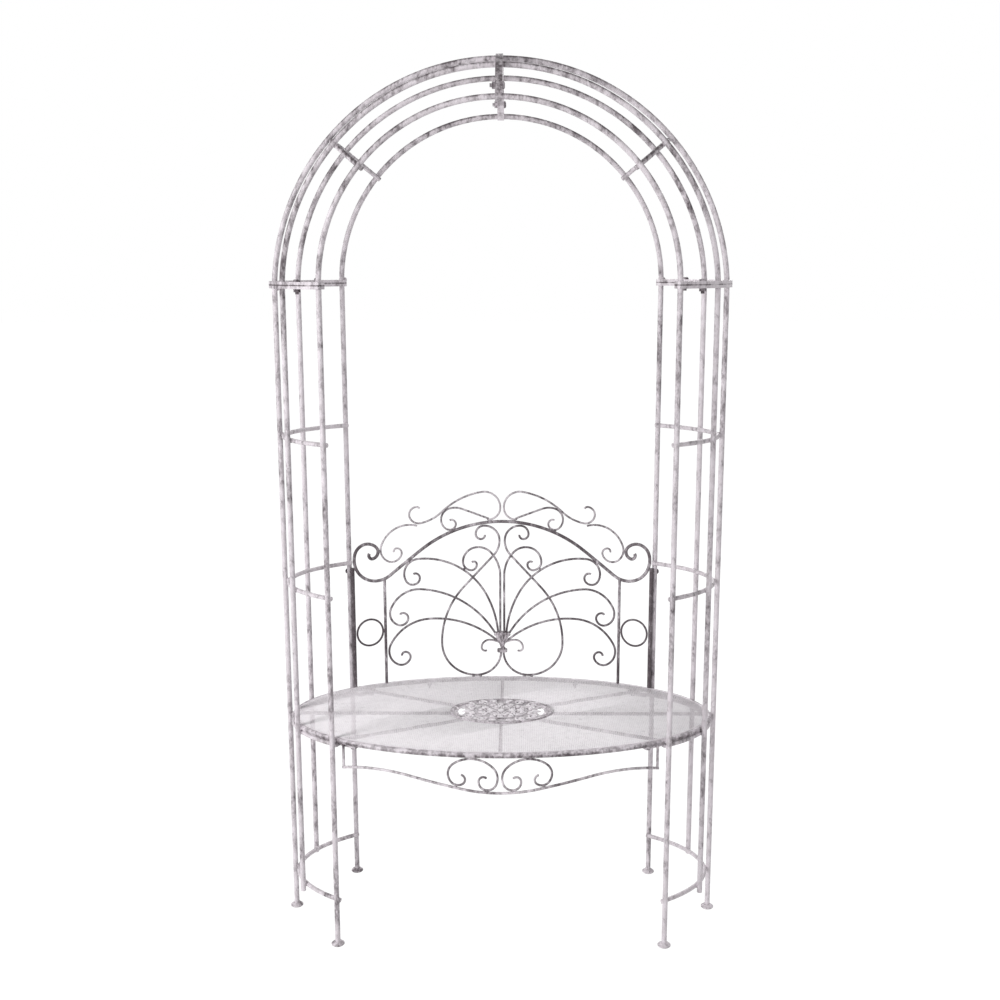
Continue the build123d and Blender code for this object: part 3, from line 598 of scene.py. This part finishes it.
def curl_rings(shape, plate):
    """Small curls in rings about the middle, which wind the other way by turns."""
    for count, reach_x, reach_y, size in CURL_RINGS:
        for k in range(count):
            angle = math.tau * (k + 0.5) / count
            turns = CURL_TURNS * (-1) ** k
            middle = Vector((reach_x * math.cos(angle), reach_y * math.sin(angle), 0))
            path = spiral(middle, size, angle + math.pi, turns, plate + CURL_BAR / 2)
            curl(shape, path, middle + Vector((0, 0, plate)))


def end_leaves(shape, plate):
    """A leaf that points at each end's opening, and two beside it."""
    for side in (-1, 1):
        tip = Vector((side, 0, 0))
        dome(shape, tip * TIP_REACH + Vector((0, 0, plate - TIP_SINK)), tip, TIP_LEAF)
        for lean in (-1, 1):
            way = Vector((side * SIDE_LEAF_WAY[0], lean * SIDE_LEAF_WAY[1], 0)).normalized()
            spot = Vector((side * SIDE_LEAF_REACH, lean * SIDE_LEAF_STEP, plate - SIDE_LEAF_SINK))
            dome(shape, spot, way, SIDE_LEAF)


def rosette_relief():
    """Scrolls and curls all over the plate, a veined flower with its heart, and the end leaves."""
    low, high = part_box("seat_rosette")
    plate = low.z + PLATE_THICKNESS
    relief = Shape()
    large_scrolls(relief, plate)
    curl_rings(relief, plate)
    for k in range(PETALS):
        angle = math.tau * k / PETALS
        way = Vector((math.cos(angle), math.sin(angle), 0))
        vein = [way * reach + Vector((0, 0, high.z)) for reach in VEIN_REACHES]
        tube(relief, vein, VEIN_RADII, sides=WIRE_SIDES)
    heart = Vector((0, 0, high.z - BOSS_SINK))
    dome(relief, heart, X_WAY, HEART, rings=HEART_RINGS, spokes=HEART_SPOKES)
    end_leaves(relief, plate)
    relief.piece("rosette_relief", "seat_panel")


# Weld beads: one wherever two welded bars touch

def surface_samples(obj):
    """Points along the edges of a node's mesh, no further apart than the sample step."""
    mesh = obj.data
    places = np.empty(len(mesh.vertices) * 3, np.float32)
    mesh.vertices.foreach_get("co", places)
    places = places.reshape(-1, 3)
    ends = np.empty(len(mesh.edges) * 2, np.int32)
    mesh.edges.foreach_get("vertices", ends)
    first = places[ends[0::2]]
    last = places[ends[1::2]]
    steps = np.maximum(1, np.ceil(np.linalg.norm(last - first, axis=1) / SAMPLE_STEP).astype(int))
    edge = np.repeat(np.arange(len(steps)), steps)
    offset = np.arange(len(edge)) - np.repeat(np.cumsum(steps) - steps, steps)
    share = (offset / steps[edge])[:, None]
    return first[edge] * (1 - share) + last[edge] * share


def is_bolted(name):
    return any(word in name for word in BOLTED)


def skip_pair(first, second):
    """Whether two nodes are bolted together, not welded."""
    if is_bolted(first) and is_bolted(second):
        return True
    pair = {first, second}
    return "back_posts" in pair and any("leg" in name or "ring" in name for name in pair)


def contact_places():
    """{(node, node): middles of the spots where they touch}"""
    names = [n for n in sorted(frame["nodes"]) if n not in LOOSE]
    cells = []
    owners = []
    for index, name in enumerate(names):
        samples = surface_samples(frame["nodes"][name])
        cell = np.unique(np.floor(samples / CONTACT_CELL).astype(np.int64), axis=0)
        cells.append(cell)
        owners.append(np.full(len(cell), index))
    cells = np.concatenate(cells)
    owners = np.concatenate(owners)
    order = np.lexsort((owners, cells[:, 2], cells[:, 1], cells[:, 0]))
    cells = cells[order]
    owners = owners[order]
    same = np.all(cells[1:] == cells[:-1], axis=1)
    spots = {}
    for i in np.flatnonzero(same):
        pair = (names[owners[i]], names[owners[i + 1]])
        if skip_pair(*pair):
            continue
        place = Vector(tuple(float(v) for v in (cells[i] + 0.5) * CONTACT_CELL))
        groups = spots.setdefault(pair, [])
        for group in groups:
            if (group[0] - place).length < WELD_SPACING:
                group.append(place)
                break
        else:
            groups.append([place])
    return {pair: [sum(g, Vector()) / len(g) for g in groups] for pair, groups in spots.items()}


def bead(shape, place, radius):
    """A lumpy drop of weld."""
    points = []
    stretch = Vector([random.uniform(1 - WELD_STRETCH, 1 + WELD_STRETCH) for _ in range(3)])
    for ring in range(1, WELD_RINGS):
        slope = math.pi * ring / WELD_RINGS
        for k in range(WELD_SPOKES):
            turn = math.tau * k / WELD_SPOKES
            flat = math.sin(slope)
            out = Vector((flat * math.cos(turn), flat * math.sin(turn), math.cos(slope)))
            lump = 1 + WELD_LUMP * noise.noise((place + out * radius) * WELD_LUMP_SCALE)
            points.append(place + Vector(a * b for a, b in zip(out, stretch)) * radius * lump)
    points.append(place + Vector((0, 0, radius * stretch.z)))
    points.append(place - Vector((0, 0, radius * stretch.z)))
    top = len(points) - 2
    bottom = len(points) - 1
    faces = []
    for k in range(WELD_SPOKES):
        beside = (k + 1) % WELD_SPOKES
        faces.append((top, k, beside))
        for ring in range(WELD_RINGS - 2):
            here = ring * WELD_SPOKES
            there = here + WELD_SPOKES
            faces.append((here + k, there + k, there + beside, here + beside))
        last = (WELD_RINGS - 2) * WELD_SPOKES
        faces.append((last + k, bottom, last + beside))
    shape.add(points, faces)


def weld_beads():
    """A bead at each contact, smaller where thin bars meet."""
    gathered = {"frame": Shape(), "scrollwork": Shape()}
    for pair, places in sorted(contact_places().items()):
        kinds = {SLOTS[name] for name in pair}
        slot = "scrollwork" if kinds & {"scrollwork", "rails"} else "frame"
        radius = SCROLL_WELD if slot == "scrollwork" else FRAME_WELD
        for place in places:
            bead(gathered[slot], place, radius)
    for slot, shape in gathered.items():
        shape.piece(f"{slot}_weld_beads", slot)


# Calyx: leaves and beads on the front and the back of the casting

def calyx_leaves():
    """Three leaves and a row of beads on each face of the casting."""
    low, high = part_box("calyx")
    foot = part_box("collar")[1].z
    middle_y = (low.y + high.y) / 2
    relief = Shape()
    for face in (low.y, high.y):
        out = math.copysign(LEAF_STANDOFF, face - middle_y)
        for lean, reach in CALYX_LEAVES:
            path = []
            radii = []
            for k in range(LEAF_STEPS + 1):
                share = k / LEAF_STEPS
                path.append(Vector((lean * share**LEAF_BEND, face + out, foot + LEAF_FOOT + reach * share)))
                swell = math.sin(math.pi * (k + LEAF_BASE) / (LEAF_STEPS + LEAF_BASE))
                radii.append(LEAF_THIN + LEAF_SWELL * swell)
            tube(relief, path, radii)
        for k in range(CALYX_BEADS):
            step = k - CALYX_BEADS // 2
            height = foot + CALYX_BEAD_HEIGHT - CALYX_BEAD_DROP * abs(step)
            bead(relief, Vector((CALYX_BEAD_SPACING * step, face, height)), CALYX_BEAD)
    relief.piece("calyx_leaves", "frame")


# Stage: white floor that keeps the shadow, soft light

def seen_rays(tree):
    """1 for what the camera sees straight on, in a reflection or through glass, otherwise 0."""
    path = add_node(tree, "ShaderNodeLightPath")
    seen = math_node(tree, "MAXIMUM", path.outputs["Is Camera Ray"], path.outputs["Is Glossy Ray"])
    return math_node(tree, "MAXIMUM", seen, path.outputs["Is Transmission Ray"])


def mix_to_output(tree, factor, first, second, output_kind):
    mix = add_node(tree, "ShaderNodeMixShader")
    tree.links.new(factor, mix.inputs["Fac"])
    tree.links.new(first.outputs[0], mix.inputs[1])
    tree.links.new(second.outputs[0], mix.inputs[2])
    tree.links.new(mix.outputs[0], add_node(tree, output_kind).inputs["Surface"])


def floor_material():
    """White to the camera and in reflections, with a share of the floor's own shaded white."""
    material = bpy.data.materials.new("floor_white")
    tree = emptied(material)
    share = math_node(tree, "MULTIPLY", seen_rays(tree), 1 - FLOOR_LIT_SHARE)
    diffuse = add_node(tree, "ShaderNodeBsdfDiffuse")
    diffuse.inputs["Color"].default_value = (FLOOR_WHITE, FLOOR_WHITE, FLOOR_WHITE, 1)
    glow = add_node(tree, "ShaderNodeEmission")
    glow.inputs["Strength"].default_value = FLOOR_GLOW
    mix_to_output(tree, share, diffuse, glow, "ShaderNodeOutputMaterial")
    return material


def stage():
    mesh = bpy.data.meshes.new("floor")
    corners = [(-1, -1), (1, -1), (1, 1), (-1, 1)]
    mesh.from_pydata([(x * FLOOR_REACH, y * FLOOR_REACH, 0) for x, y in corners], [], [(0, 1, 2, 3)])
    mesh.materials.append(floor_material())
    floor = bpy.data.objects.new("floor", mesh)
    floor.location.z = -FLOOR_DROP
    bpy.context.scene.collection.objects.link(floor)


def world_light():
    world = bpy.data.worlds.new("studio")
    bpy.context.scene.world = world
    tree = emptied(world)
    ambient = add_node(tree, "ShaderNodeBackground")
    ambient.inputs["Strength"].default_value = AMBIENT
    white = add_node(tree, "ShaderNodeBackground")
    white.inputs["Color"].default_value = (1, 1, 1, 1)
    white.inputs["Strength"].default_value = 1.0
    mix_to_output(tree, seen_rays(tree), ambient, white, "ShaderNodeOutputWorld")


def area_light(name, lamp):
    light = bpy.data.lights.new(name, "AREA")
    light.size = lamp.size
    light.energy = lamp.power
    obj = bpy.data.objects.new(name, light)
    obj.location = lamp.place
    obj.rotation_euler = (Vector(lamp.aim) - Vector(lamp.place)).to_track_quat("-Z", "Y").to_euler()
    bpy.context.scene.collection.objects.link(obj)


def photo_camera():
    camera = bpy.data.objects.new("camera", bpy.data.cameras.new("camera"))
    camera.data.lens = CAMERA_LENS
    camera.data.sensor_width = SENSOR_WIDTH
    turn = Matrix.Rotation(math.radians(CAMERA_YAW), 4, "Z")
    turn = turn @ Matrix.Rotation(math.radians(90 - CAMERA_PITCH), 4, "X")
    turn = turn @ Matrix.Rotation(math.radians(-CAMERA_ROLL), 4, "Z")
    camera.matrix_world = Matrix.Translation(CAMERA_PLACE) @ turn
    bpy.context.scene.collection.objects.link(camera)
    bpy.context.scene.camera = camera


paint_frame()
seat_sheet()
rosette_band()
rosette_relief()
weld_beads()
calyx_leaves()

stage()
world_light()
for lamp_name, lamp in LAMPS.items():
    area_light(lamp_name, lamp)
photo_camera()
bpy.context.scene.view_settings.view_transform = "Standard"
